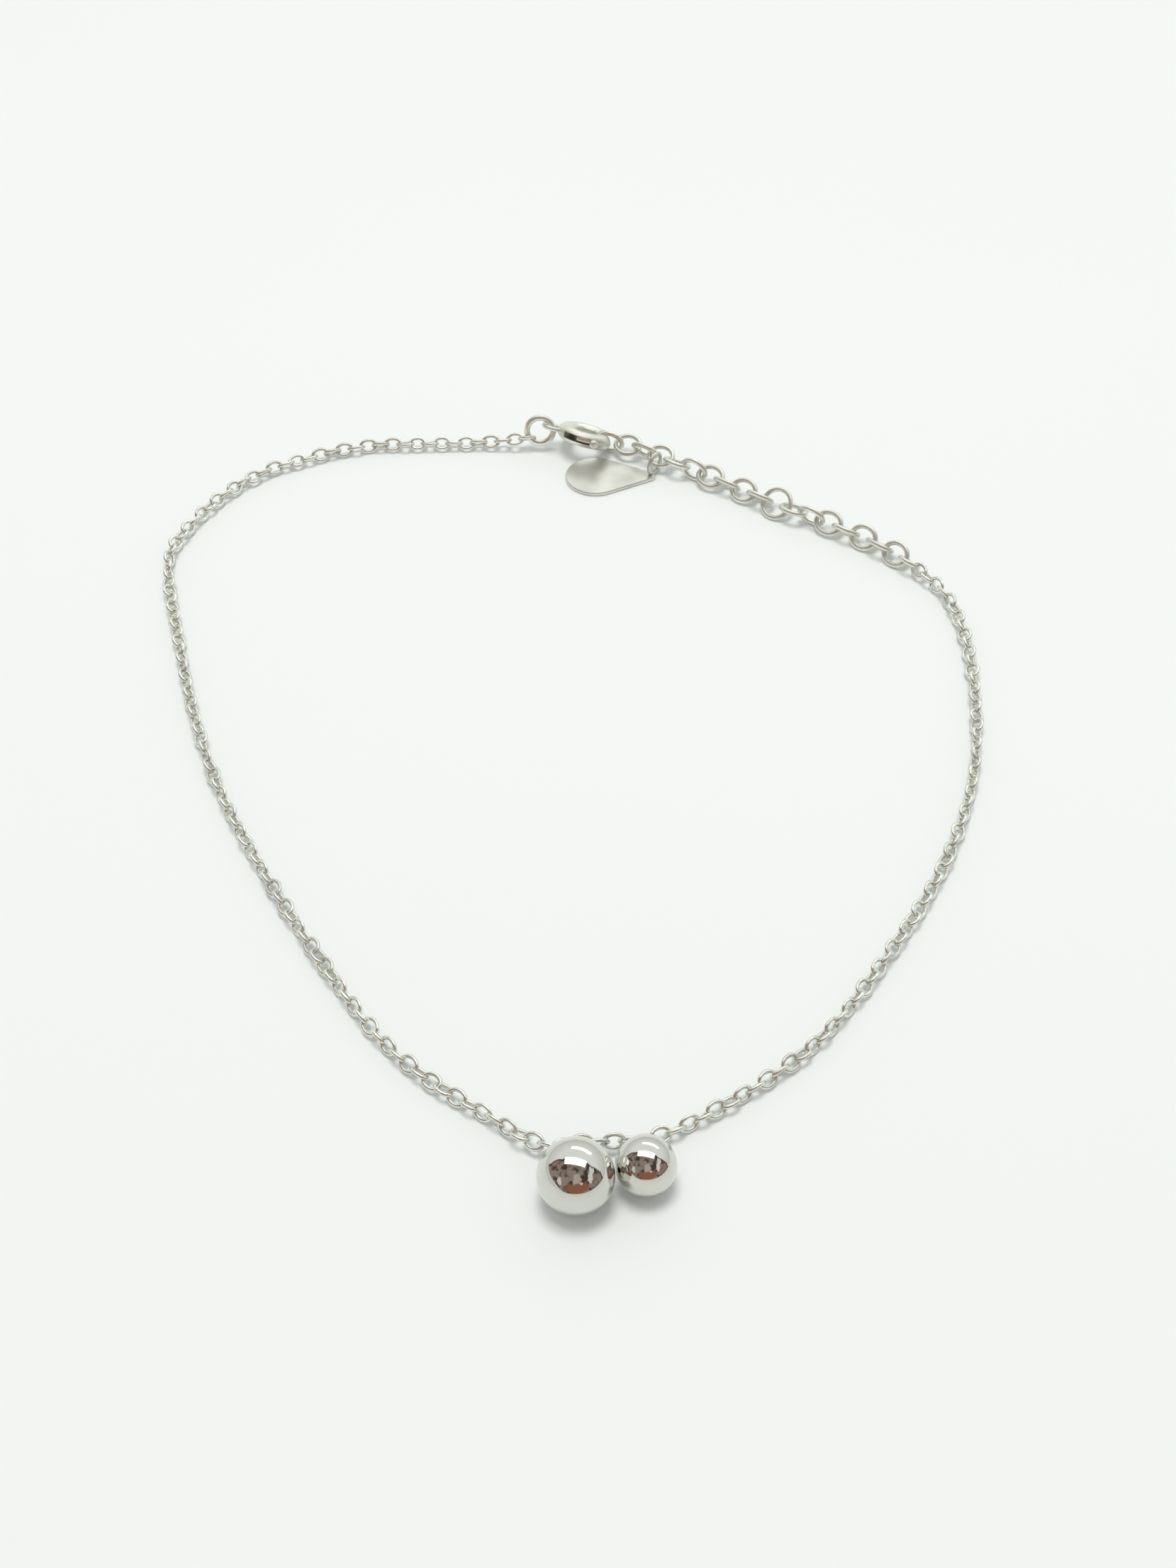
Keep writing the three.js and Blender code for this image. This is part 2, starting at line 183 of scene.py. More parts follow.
# Area lights in metres. Columns: name, place, what it faces, size, glow, turn, what it leaves alone
MIDDLE = (0.0, 0.0, 0.0)
BALLS_PLACE = (0.0, -0.04, 0.0)
PANEL_COLOR = (1.0, 1.0, 0.98)
LIGHTS = [
    ("key_light", (-0.03, 0.02, 1.0), MIDDLE, (0.42, 0.36), 9.8, 0, "visible_glossy"),
    ("overhead_panel", (0.0, 0.04, 0.7), BALLS_PLACE, (0.8, 0.28), 1.4, -12, "visible_diffuse"),
    ("back_panel", (0.11, 0.3, 0.29), BALLS_PLACE, (0.38, 0.085), 1.3, 0, "visible_diffuse"),
]

X_AXIS = Vector((1, 0, 0))
UP = Vector((0, 0, 1))


# Lines and places
def smooth_segment(before, start, end, after, samples):
    """Points along one stretch of a smooth line, spaced by the square root of the chords."""
    chord = max((end - start).length ** 0.5, 1e-4)
    chord_before = (start - before).length ** 0.5
    chord_after = (after - end).length ** 0.5
    leave = (start - before) / chord_before - (end - before) / (chord_before + chord) + (end - start) / chord
    arrive = (end - start) / chord - (after - start) / (chord + chord_after) + (after - end) / chord_after
    leave = leave * chord
    arrive = arrive * chord
    square = -3 * start + 3 * end - 2 * leave - arrive
    cube = 2 * start - 2 * end + leave + arrive
    steps = [i / samples for i in range(samples)]
    return [start + leave * t + square * t * t + cube * t * t * t for t in steps]


class Route:
    """A smooth line through points, read by the distance along it."""

    def __init__(self, points, samples=40):
        first = points[0] * 2 - points[1]
        last = points[-1] * 2 - points[-2]
        padded = [first, *points, last]
        self.samples = []
        for i in range(1, len(padded) - 2):
            self.samples += smooth_segment(*padded[i - 1 : i + 3], samples)
        self.samples.append(points[-1])
        self.reaches = [0.0]
        for a, b in zip(self.samples, self.samples[1:]):
            self.reaches.append(self.reaches[-1] + (b - a).length)
        self.length = self.reaches[-1]

    def point(self, distance):
        i = min(max(bisect_right(self.reaches, distance), 1), len(self.reaches) - 1)
        start = self.reaches[i - 1]
        share = (distance - start) / (self.reaches[i] - start)
        return self.samples[i - 1].lerp(self.samples[i], share)

    def direction(self, distance):
        step = 0.02
        return (self.point(distance + step) - self.point(distance - step)).normalized()


def basis(centre, x_axis, z_axis):
    """A matrix that sets a piece at centre, facing z_axis, with its long way near x_axis."""
    side = z_axis.cross(x_axis).normalized()
    along = side.cross(z_axis).normalized()
    return Matrix.Translation(centre) @ Matrix((along, side, z_axis.normalized())).transposed().to_4x4()


def facing(along, roll):
    """The facing of a link that is rolled about the chain's direction."""
    up = (UP - along * UP.dot(along)).normalized()
    front = along.cross(up)
    return front * math.cos(math.radians(roll)) + up * math.sin(math.radians(roll))


def ball_centre(ball):
    return Vector((*ball.place, ball.radius + FLOOR_GAP))


def ball_loop(ball):
    """The middle of the loop on a ball's back, the way to it and the way that the chain passes."""
    back = Vector(ball.way).normalized()
    chain_way = (X_AXIS - back * back.x).normalized()
    reach = ball.radius + LOOP_RADIUS + LOOP_WIRE / 2 - LOOP_SUNK
    return ball_centre(ball) + back * reach, back, chain_way


def ball_hook(ball):
    """The middle of the chain link that a ball's loop hangs on, and the ways it points."""
    loop_centre, back, chain_way = ball_loop(ball)
    return loop_centre + back * LOOP_RADIUS, chain_way, chain_way.cross(back).normalized()


def clasp_matrix():
    lean = math.radians(CLASP_LEAN)
    face = Vector((*(v * math.sin(lean) for v in CLASP_LEAN_TOWARDS), math.cos(lean))).normalized()
    height = CLASP_RADIUS * math.sin(lean) + CLASP_TUBE + FLOOR_GAP
    return basis(Vector((*CLASP_PLACE, height)), X_AXIS, face)


def in_clasp(radius, degrees):
    angle = math.radians(degrees)
    return Vector((radius * math.cos(angle), radius * math.sin(angle), 0))


def eye_distance():
    return CLASP_RADIUS + CLASP_TUBE + EYE_RADIUS + EYE_WIRE / 2 - EYE_SUNK


def clasp_ring_matrix():
    """The jump ring leans back and passes through the middle of the clasp's eye, which holds it up."""
    eye = clasp_matrix() @ in_clasp(eye_distance(), 180)
    lean = math.radians(CLASP_RING_LEAN)
    climb = math.radians(CLASP_RING_CLIMB)
    up = Vector((0, math.sin(lean), math.cos(lean)))
    centre = eye - X_AXIS * CLASP_RING_RADIUS * math.cos(climb) - up * CLASP_RING_RADIUS * math.sin(climb)
    return basis(centre, X_AXIS, X_AXIS.cross(up))


def extender_route():
    hook = clasp_matrix() @ in_clasp(CLASP_RADIUS, BOLT_HOOK)
    return Route([hook, *(Vector(p) for p in EXTENDER_ROUTE)])


def extender_reaches(sizes):
    """How far along the extender's route each of its links sits."""
    wire = sizes.extender_wire / MM
    half_length = (sizes.extender_length / MM - wire) / 2
    first = half_length - BOLT_RADIUS - wire / 2 - BOLT_HOOK_GAP
    return [first + i * EXTENDER_PITCH for i in range(len(EXTENDER_ROLLS))]


def end_ring_reach(sizes):
    wire = sizes.extender_wire / MM
    half_length = (sizes.extender_length / MM - wire) / 2
    ring = half_length + END_RING_RADIUS - (wire + END_RING_WIRE) / 2 - SMALL_GAP
    return extender_reaches(sizes)[-1] + ring


# Meshes
def wire_ring(half_length, half_width, wire_radius, matrix, around, across):
    """A closed ring of round wire, as a list of points and a list of faces."""
    points = []
    faces = []
    for i in range(around):
        turn = 2 * math.pi * i / around
        outwards = Vector((math.cos(turn) / half_length, math.sin(turn) / half_width, 0)).normalized()
        middle = Vector((half_length * math.cos(turn), half_width * math.sin(turn), 0))
        for j in range(across):
            angle = 2 * math.pi * j / across
            lift = outwards * math.cos(angle) + UP * math.sin(angle)
            points.append(matrix @ (middle + lift * wire_radius))
            a = i * across + j
            b = (i + 1) % around * across + j
            c = (i + 1) % around * across + (j + 1) % across
            d = i * across + (j + 1) % across
            faces.append((a, b, c, d))
    return points, faces


def lathe(profile, sides, matrix):
    """A closed form turned about Z from (radius, height) pairs, from its lowest to its highest."""
    points = [matrix @ Vector((0, 0, profile[0][1]))]
    faces = []
    rings = profile[1:-1]
    for radius, height in rings:
        for j in range(sides):
            angle = 2 * math.pi * j / sides
            points.append(matrix @ Vector((radius * math.cos(angle), radius * math.sin(angle), height)))
    points.append(matrix @ Vector((0, 0, profile[-1][1])))
    top = len(points) - 1
    for j in range(sides):
        beside = (j + 1) % sides
        faces.append((0, 1 + beside, 1 + j))
        for i in range(len(rings) - 1):
            low = 1 + i * sides
            high = low + sides
            faces.append((low + j, low + beside, high + beside, high + j))
        last = 1 + (len(rings) - 1) * sides
        faces.append((last + j, last + beside, top))
    return points, faces


def arc_tube(radius, from_deg, to_deg, tube_radius, steps, sides, rim=0.0):
    """A tube bent round the clasp's ring, with the edges of its two ends rounded by rim."""
    stations = []
    rim_steps = 5 if rim else 0
    rim_deg = math.degrees(rim / radius)
    for k in range(rim_steps):
        slope = math.pi / 2 * k / rim_steps
        degrees = from_deg + rim_deg * (1 - math.cos(slope))
        stations.append((degrees, tube_radius - rim * (1 - math.sin(slope))))
    inner_from = from_deg + rim_deg
    inner_to = to_deg - rim_deg
    for k in range(steps + 1):
        stations.append((inner_from + (inner_to - inner_from) * k / steps, tube_radius))
    for degrees, reach in reversed(stations[:rim_steps]):
        stations.append((to_deg - (degrees - from_deg), reach))
    points = []
    faces = []
    for degrees, reach in stations:
        outwards = in_clasp(1, degrees)
        for j in range(sides):
            angle = 2 * math.pi * j / sides
            points.append(outwards * (radius + reach * math.cos(angle)) + UP * (reach * math.sin(angle)))
    for i in range(len(stations) - 1):
        for j in range(sides):
            beside = (j + 1) % sides
            low = i * sides
            high = low + sides
            faces.append((low + j, high + j, high + beside, low + beside))
    faces.append(tuple(range(sides)))
    faces.append(tuple(reversed(range(len(points) - sides, len(points)))))
    return points, faces


def rounded_rod(start, end, radius, rim, sides):
    """A rod from start to end with rounded edges."""
    along = end - start
    length = along.length
    steps = 5
    slopes = [math.pi / 2 * k / steps for k in range(steps + 1)]
    foot = [(radius - rim * (1 - math.sin(s)), rim * (1 - math.cos(s))) for s in slopes]
    head = [(reach, length - height) for reach, height in reversed(foot)]
    matrix = Matrix.Translation(start) @ along.to_track_quat("Z", "Y").to_matrix().to_4x4()
    return lathe([(0, 0), *foot, *head, (0, length)], sides, matrix)


def merged(*shapes):
    points = []
    faces = []
    for more_points, more_faces in shapes:
        base = len(points)
        points += more_points
        faces += [tuple(base + i for i in face) for face in more_faces]
    return points, faces


def to_frame(mesh):
    """Moves a mesh from the layout's millimetres to the frame's metres."""
    mesh.transform(Matrix.Scale(MM, 4) @ Matrix.Translation(-LOOP_MIDDLE))


def mesh_from(name, shape):
    mesh = bpy.data.meshes.new(name)
    mesh.from_pydata(shape[0], [], shape[1])
    mesh.validate()
    return mesh


def link_in(name, mesh):
    piece = bpy.data.objects.new(name, mesh)
    bpy.context.scene.collection.objects.link(piece)
    return piece


def finished(name, mesh, material, body, nodes, crease=None):
    """Shades a mesh, gives it its metal and sets it in the place of the solids that it stands for."""
    mesh.shade_smooth()
    if crease:
        mesh.set_sharp_from_angle(angle=math.radians(crease))
    mesh.materials.clear()
    mesh.materials.append(material)
    piece = link_in(name, mesh)
    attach(piece, body)
    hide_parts(*nodes)
    return piece


def baked(piece):
    """The plain mesh that a piece's modifiers give; the piece itself is removed."""
    bpy.context.view_layer.update()
    view = bpy.context.evaluated_depsgraph_get()
    mesh = bpy.data.meshes.new_from_object(piece.evaluated_get(view))
    piece.modifiers.clear()
    old = piece.data
    bpy.data.objects.remove(piece)
    bpy.data.meshes.remove(old)
    return mesh


def cut(shape, *tools):
    body = link_in("cut_body", mesh_from("cut_body", shape))
    helpers = []
    for tool in tools:
        helper = link_in("cutter", mesh_from("cutter", tool))
        modifier = body.modifiers.new("cut", "BOOLEAN")
        modifier.operation = "DIFFERENCE"
        modifier.solver = "EXACT"
        modifier.object = helper
        helpers.append(helper)
    mesh = baked(body)
    for helper in helpers:
        old = helper.data
        bpy.data.objects.remove(helper)
        bpy.data.meshes.remove(old)
    return mesh


# Metals
class Value:
    """A shader socket that can be written in sums; each operation adds its Math node."""

    def __init__(self, finish, socket):
        self.finish = finish
        self.socket = socket

    def math(self, operation, *values, clamp=False):
        return self.finish.node("ShaderNodeMath", {"operation": operation, "use_clamp": clamp}, {
            i: value for i, value in enumerate(values)
        })

    def __add__(self, other):
        return self.math("ADD", self, other)

    __radd__ = __add__

    def __sub__(self, other):
        return self.math("SUBTRACT", self, other)

    def __mul__(self, other):
        return self.math("MULTIPLY", self, other)

    def between(self, low, high):
        """0 below low and 1 above high, with a straight run between them."""
        return self.math("MULTIPLY_ADD", self, 1 / (high - low), -low / (high - low), clamp=True)


class Finish:
    """Builds the nodes of one material or world."""

    def __init__(self, owner):
        owner.use_nodes = True
        self.tree = owner.node_tree
        self.tree.nodes.clear()

    def node(self, kind, settings=None, values=None, output=0):
        made = self.tree.nodes.new(kind)
        for name, setting in (settings or {}).items():
            setattr(made, name, setting)
        for name, value in (values or {}).items():
            if isinstance(value, Value):
                self.tree.links.new(value.socket, made.inputs[name])
            else:
                made.inputs[name].default_value = value
        return Value(self, made.outputs[output]) if made.outputs else made

    def mix(self, share, first, second):
        """A colour between two colours."""
        return self.node(
            "ShaderNodeMix",
            {"data_type": "RGBA"},
            {0: share, 6: first, 7: second},
            output=2,
        )

    def place(self, scale):
        """Object coordinates, stretched by a scale for each axis."""
        here = self.node("ShaderNodeTexCoord", output=3)
        return self.node("ShaderNodeMapping", None, {0: here, 3: scale})

    def noise(self, where, scale, detail=2.0, roughness=0.5):
        return self.node(
            "ShaderNodeTexNoise",
            None,
            {"Vector": where, "Scale": scale, "Detail": detail, "Roughness": roughness},
        )


def solid_color(color):
    return (*color[:3], 1.0)


def silver(name, light, dark, gloss, scratches, ripple):
    """Bright silver: faint tarnish clouds, fine wiping scratches and a hand-polished ripple."""
    material = bpy.data.materials.new(name)
    finish = Finish(material)
    even = finish.place((1, 1, 1))
    clouds = finish.noise(even, 420, 3).between(0.4, 0.72)
    wiped = finish.place((1, 7, 3))
    scratch = finish.noise(wiped, 5200, 4, 0.7).between(0.45, 0.8)
    swell = finish.noise(even, 900, 1)
    color = finish.mix(clouds * 0.8, solid_color(light), solid_color(dark))
    roughness = gloss + clouds * (gloss * 0.5) + scratch * scratches
    height = swell * ripple + scratch * (scratches * 0.2)
    bump = finish.node("ShaderNodeBump", None, {"Strength": 0.25, "Distance": 0.00002, "Height": height})
    shader = finish.node("ShaderNodeBsdfPrincipled", None, {
        "Base Color": color,
        "Metallic": 1.0,
        "Roughness": roughness,
        "Normal": bump,
    })
    finish.node("ShaderNodeOutputMaterial", None, {"Surface": shader})
    return material


def table_top(color):
    """A pale matt table with a faint grain, and painted shade that darkens it a little towards the camera.
    """
    material = bpy.data.materials.new("pale_table")
    finish = Finish(material)
    even = finish.place((1, 1, 1))
    cloud = finish.noise(even, 14, 2)
    grain = finish.noise(even, 2600, 2)
    # Painted shade: the colour darkens towards the camera, mixed with the faint random cloud
    painted_shade_share = finish.node("ShaderNodeSeparateXYZ", None, {0: even}, output=1).between(0.06, -0.08)
    painted_shade_color = solid_color([channel * TABLE_PAINTED_NEAR_SHADE for channel in color])
    shade = finish.mix(cloud * 0.2 + painted_shade_share * 0.8, solid_color(color), painted_shade_color)
    bump = finish.node("ShaderNodeBump", None, {"Strength": 0.05, "Distance": 0.00005, "Height": grain})
    shader = finish.node("ShaderNodeBsdfPrincipled", None, {
        "Base Color": shade,
        "Roughness": 0.55,
        "Normal": bump,
    })
    finish.node("ShaderNodeOutputMaterial", None, {"Surface": shader})
    return material


def metal(name):
    """One of the silvers; all of them are made when the first is asked for."""
    colors = bpy.context.scene.anklet_colors
    made = bpy.data.materials
    if name not in made:
        for kind, light, dark, gloss, scratches, ripple in SILVERS:
            silver(kind, getattr(colors, light), getattr(colors, dark), gloss, scratches, ripple)
    return made[name]


# Chains, made with Geometry Nodes
class Tree:
    """Builds one Geometry Nodes tree."""

    def __init__(self, name):
        self.tree = bpy.data.node_groups.new(name, "GeometryNodeTree")
        self.tree.is_modifier = True
        self.sockets = {}
        self.add_input("Geometry", "NodeSocketGeometry")
        self.tree.interface.new_socket("Geometry", in_out="OUTPUT", socket_type="NodeSocketGeometry")
        self.entry = self.tree.nodes.new("NodeGroupInput")

    def add_input(self, name, kind):
        self.sockets[name] = self.tree.interface.new_socket(name, in_out="INPUT", socket_type=kind)

    def given(self, name):
        return self.entry.outputs[name]

    def node(self, kind, settings=None, values=None, output=0):
        made = self.tree.nodes.new(kind)
        for name, setting in (settings or {}).items():
            setattr(made, name, setting)
        for name, value in (values or {}).items():
            if isinstance(value, bpy.types.NodeSocket):
                self.tree.links.new(value, made.inputs[name])
            else:
                made.inputs[name].default_value = value
        return made.outputs[output]

    def math(self, operation, first, second):
        return self.node("ShaderNodeMath", {"operation": operation}, {0: first, 1: second})

    def finish(self, geometry):
        exit_node = self.tree.nodes.new("NodeGroupOutput")
        self.tree.links.new(geometry, exit_node.inputs["Geometry"])
        return self


def oval_link(tree, length, width):
    """The nodes of one oval link of round wire."""
    wire = tree.given("Wire")
    long_way = tree.math("MULTIPLY", tree.math("SUBTRACT", length, wire), 0.5)
    wide_way = tree.math("MULTIPLY", tree.math("SUBTRACT", width, wire), 0.5)
    oval = tree.node("ShaderNodeCombineXYZ", None, {"X": long_way, "Y": wide_way, "Z": 1.0})
    circle = tree.node("GeometryNodeCurvePrimitiveCircle", {"mode": "RADIUS"}, {
        "Resolution": tree.given("Sides Around"),
        "Radius": 1.0,
    })
    loop = tree.node("GeometryNodeTransform", None, {"Geometry": circle, "Scale": oval})
    section = tree.node("GeometryNodeCurvePrimitiveCircle", {"mode": "RADIUS"}, {
        "Resolution": tree.given("Sides Across"),
        "Radius": tree.math("MULTIPLY", wire, 0.5),
    })
    return tree.node("GeometryNodeCurveToMesh", None, {"Curve": loop, "Profile Curve": section})


def chain_tree():
    """Oval wire links set along a line, each turned from the one before and a little twisted."""
    tree = Tree("oval_link_chain")
    for name in ("Links", "Sides Around", "Sides Across", "Seed", "Wide Link"):
        tree.add_input(name, "NodeSocketInt")
    for name in ("Link Length", "Link Width", "Wide Size", "Wire", "Turn", "Twist"):
        tree.add_input(name, "NodeSocketFloat")
    tree.add_input("Metal", "NodeSocketMaterial")

    link = oval_link(tree, tree.given("Link Length"), tree.given("Link Width"))
    wide_link = oval_link(tree, tree.given("Wide Size"), tree.given("Wide Size"))

    line = tree.node("GeometryNodeMeshToCurve", None, {"Mesh": tree.given("Geometry")})
    spaced = tree.node("GeometryNodeResampleCurve", {"mode": "COUNT"}, {
        "Curve": line,
        "Count": tree.given("Links"),
    })
    tangent = tree.node("GeometryNodeInputTangent")
    ahead = tree.node("FunctionNodeAlignRotationToVector", {"axis": "X"}, {"Vector": tangent})
    level = tree.node("FunctionNodeAlignRotationToVector", {"axis": "Z", "pivot_axis": "X"}, {
        "Rotation": ahead,
        "Vector": (0, 0, 1),
    })
    index = tree.node("GeometryNodeInputIndex")
    twist = tree.node("FunctionNodeRandomValue", {"data_type": "FLOAT"}, {
        2: tree.math("MULTIPLY", tree.given("Twist"), -1.0),
        3: tree.given("Twist"),
        "Seed": tree.given("Seed"),
    }, output=1)
    roll = tree.node("GeometryNodeInputNamedAttribute", {"data_type": "FLOAT"}, {"Name": "roll"})
    turned = tree.math("MULTIPLY", index, tree.given("Turn"))
    angle = tree.math("ADD", tree.math("ADD", turned, twist), roll)
    turn = tree.node("FunctionNodeAxisAngleToRotation", None, {"Axis": (1, 0, 0), "Angle": angle})
    facing_way = tree.node("FunctionNodeRotateRotation", {"rotation_space": "LOCAL"}, {
        "Rotation": level,
        "Rotate By": turn,
    })
    is_wide = tree.node("ShaderNodeMath", {"operation": "COMPARE"}, {
        0: index,
        1: tree.given("Wide Link"),
        2: 0.5,
    })
    rows = []
    for shape, chosen in ((link, tree.math("SUBTRACT", 1.0, is_wide)), (wide_link, is_wide)):
        rows.append(tree.node("GeometryNodeInstanceOnPoints", None, {
            "Points": spaced,
            "Selection": chosen,
            "Instance": shape,
            "Rotation": facing_way,
        }))
    links = tree.node("GeometryNodeJoinGeometry", None, {"Geometry": rows[0]})
    tree.tree.links.new(rows[1], links.node.inputs["Geometry"])
    real = tree.node("GeometryNodeRealizeInstances", None, {"Geometry": links})
    smooth = tree.node("GeometryNodeSetShadeSmooth", None, {"Geometry": real})
    metal = tree.node("GeometryNodeSetMaterial", None, {"Geometry": smooth, "Material": tree.given("Metal")})
    return tree.finish(metal)


def line_of(name, points, rolls):
    """A line of edges through points, with the roll of the link at each point."""
    mesh = bpy.data.meshes.new(name)
    mesh.from_pydata(points, [(i, i + 1) for i in range(len(points) - 1)], [])
    attribute = mesh.attributes.new("roll", "FLOAT", "POINT")
    for i, roll in enumerate(rolls):
        attribute.data[i].value = math.radians(roll)
    to_frame(mesh)
    return link_in(name, mesh)


def chain_mesh(line, tree, values):
    """The mesh of links that the tree makes along a line."""
    modifier = line.modifiers.new("links", "NODES")
    for name, value in values.items():
        modifier[tree.sockets[name].identifier] = value
    modifier.node_group = tree.tree
    for name, value in values.items():
        modifier[tree.sockets[name].identifier] = value
    return baked(line)


def fine_chain(name, route, start, end, seed, nodes):
    """Fine cable chain along a route, from a link at start to a link at end."""
    sizes = bpy.context.scene.anklet_sizes
    drawn = metal("drawn_silver")
    links = round((end - start) / (sizes.fine_pitch / MM)) + 1
    steps = links * 3
    points = [route.point(start + (end - start) * i / steps) for i in range(steps + 1)]
    line = line_of(name + "_line", points, [45] * len(points))
    mesh = chain_mesh(line, chain_tree(), {
        "Links": links,
        "Sides Around": 14,
        "Sides Across": 6,
        "Seed": seed,
        "Link Length": sizes.fine_length,
        "Link Width": sizes.fine_width,
        "Wide Link": -1,
        "Wide Size": sizes.fine_length,
        "Wire": sizes.fine_wire,
        "Turn": math.radians(90),
        "Twist": sizes.fine_twist,
        "Metal": drawn,
    })
    return finished(name, mesh, drawn, "anklet", nodes)


# Sizes and colours that a user may change
class AnkletSizes(bpy.types.PropertyGroup):
    """Sizes of the chains' links and of the tag."""

    fine_length: FloatProperty(
        name="Fine Link Length",
        description="Length of a fine link",
        default=0.0017,
        unit="LENGTH",
        precision=5,
    )
    fine_width: FloatProperty(
        name="Fine Link Width",
        description="Width of a fine link",
        default=0.0013,
        unit="LENGTH",
        precision=5,
    )
    fine_wire: FloatProperty(
        name="Fine Wire",
        description="Thickness of a fine link's wire",
        default=0.00029,
        unit="LENGTH",
        precision=5,
    )
    fine_pitch: FloatProperty(
        name="Fine Pitch",
        description="Distance between fine links",
        default=0.001073,
        unit="LENGTH",
        precision=6,
    )
    fine_twist: FloatProperty(
        name="Fine Twist",
        description="Most that a fine link is twisted",
        default=math.radians(22),
        min=0,
        max=math.radians(40),
        subtype="ANGLE",
    )
    extender_length: FloatProperty(
        name="Extender Link Length",
        description="Length of an extender link",
        default=0.00266,
        unit="LENGTH",
        precision=5,
    )
    extender_width: FloatProperty(
        name="Extender Link Width",
        description="Width of an extender link",
        default=0.00225,
        unit="LENGTH",
        precision=5,
    )
    extender_wire: FloatProperty(
        name="Extender Wire",
        description="Thickness of the extender's wire",
        default=0.00043,
        unit="LENGTH",
        precision=5,
    )
    wide_link: FloatProperty(
        name="Wide Link",
        description="Size of the extender's one round link",
        default=0.00295,
        unit="LENGTH",
        precision=5,
    )
    tag_thickness: FloatProperty(
        name="Tag Thickness",
        description="Thickness of the drop tag",
        default=0.00035,
        unit="LENGTH",
        precision=5,
    )
    seed: IntProperty(name="Twist Seed", description="Chooses how the fine links are twisted", default=7)


class AnkletColors(bpy.types.PropertyGroup):
    """Colours of the metal and the table."""

    silver: FloatVectorProperty(
        name="Silver",
        description="Colour of the polished balls and the tag",
        subtype="COLOR",
        size=3,
        default=(0.72, 0.72, 0.675),
    )
    matt_silver: FloatVectorProperty(
        name="Matt Silver",
        description="Colour of the paler silver of the chains, rings and clasp",
        subtype="COLOR",
        size=3,
        default=(0.88, 0.9, 0.83),
    )
    tarnish: FloatVectorProperty(
        name="Tarnish",
        description="Colour of slightly dulled silver",
        subtype="COLOR",
        size=3,
        default=(0.67, 0.67, 0.62),
    )
    table: FloatVectorProperty(
        name="Table",
        description="Colour of the table",
        subtype="COLOR",
        size=3,
        default=(0.9, 0.93, 0.905),
    )


# Operators
class AnkletPiece:
    """What the anklet's operators share."""

    bl_options = {"REGISTER", "UNDO"}


class ANKLET_OT_balls(AnkletPiece, bpy.types.Operator):
    """Make the two polished balls, each with the loop soldered on its back"""

    bl_idname = "anklet.balls"
    bl_label = "Balls"

    def execute(self, context):
        polished = metal("mirror_silver")
        slopes = [math.pi * i / BALL_ROWS for i in range(BALL_ROWS + 1)]
        for ball in BALLS:
            profile = [(ball.radius * math.sin(s), -ball.radius * math.cos(s)) for s in slopes]
            sphere = lathe(profile, BALL_SIDES, Matrix.Translation(ball_centre(ball)))
            matrix = basis(*ball_loop(ball))
            loop = wire_ring(LOOP_RADIUS, LOOP_RADIUS, LOOP_WIRE / 2, matrix, around=40, across=16)
            name = f"{ball.name}_ball"
            mesh = mesh_from(name, merged(sphere, loop))
            to_frame(mesh)
            finished(name, mesh, polished, "anklet", [f"ball_{ball.name}"])
        return {"FINISHED"}


class ANKLET_OT_ball_links(AnkletPiece, bpy.types.Operator):
    """Make the two chain links that the balls' loops hang on"""

    bl_idname = "anklet.ball_links"
    bl_label = "Ball Links"

    def execute(self, context):
        sizes = context.scene.anklet_sizes
        drawn = metal("drawn_silver")
        wire = sizes.fine_wire / MM
        half_length = (sizes.fine_length / MM - wire) / 2
        half_width = (sizes.fine_width / MM - wire) / 2
        for ball in BALLS:
            matrix = basis(*ball_hook(ball))
            shape = wire_ring(half_length, half_width, wire / 2, matrix, around=40, across=16)
            name = f"{ball.name}_ball_link"
            mesh = mesh_from(name, shape)
            to_frame(mesh)
            finished(name, mesh, drawn, "anklet", [f"ball_link_{ball.name}"])
        return {"FINISHED"}


class ANKLET_OT_fine_chains(AnkletPiece, bpy.types.Operator):
    """Make the fine cable chain: left side, right side and the stretch between the balls"""

    bl_idname = "anklet.fine_chains"
    bl_label = "Fine Chains"

    def execute(self, context):
        sizes = context.scene.anklet_sizes
        pitch = sizes.fine_pitch / MM
        wire = sizes.fine_wire / MM
        half_length = (sizes.fine_length / MM - wire) / 2
        hooks = [ball_hook(ball)[0] for ball in BALLS]

        ring_hook = clasp_ring_matrix() @ in_clasp(CLASP_RING_RADIUS, CLASP_RING_HOOK)
        last_left = half_length - CLASP_RING_WIRE / 2 - wire / 2 - FINE_WIRE_GAP
        left = Route([hooks[0], *(Vector(p) for p in LEFT_ROUTE), ring_hook])
        left_end = left.length - last_left
        fine_chain("left_fine_chain", left, pitch, left_end, sizes.seed, ["chain_left"])

        ring_centre = extender_route().point(end_ring_reach(sizes))
        last_right = END_RING_RADIUS + half_length - END_RING_WIRE / 2 - wire / 2 - FINE_WIRE_GAP
        right = Route([hooks[1], *(Vector(p) for p in RIGHT_ROUTE), ring_centre])
        right_end = right.length - last_right
        fine_chain("right_fine_chain", right, pitch, right_end, sizes.seed + 1, ["chain_right"])

        middle = Route([hooks[0], (hooks[0] + hooks[1]) / 2, hooks[1]])
        middle_end = middle.length - pitch
        fine_chain("middle_fine_chain", middle, pitch, middle_end, sizes.seed + 2, ["chain_middle"])
        return {"FINISHED"}


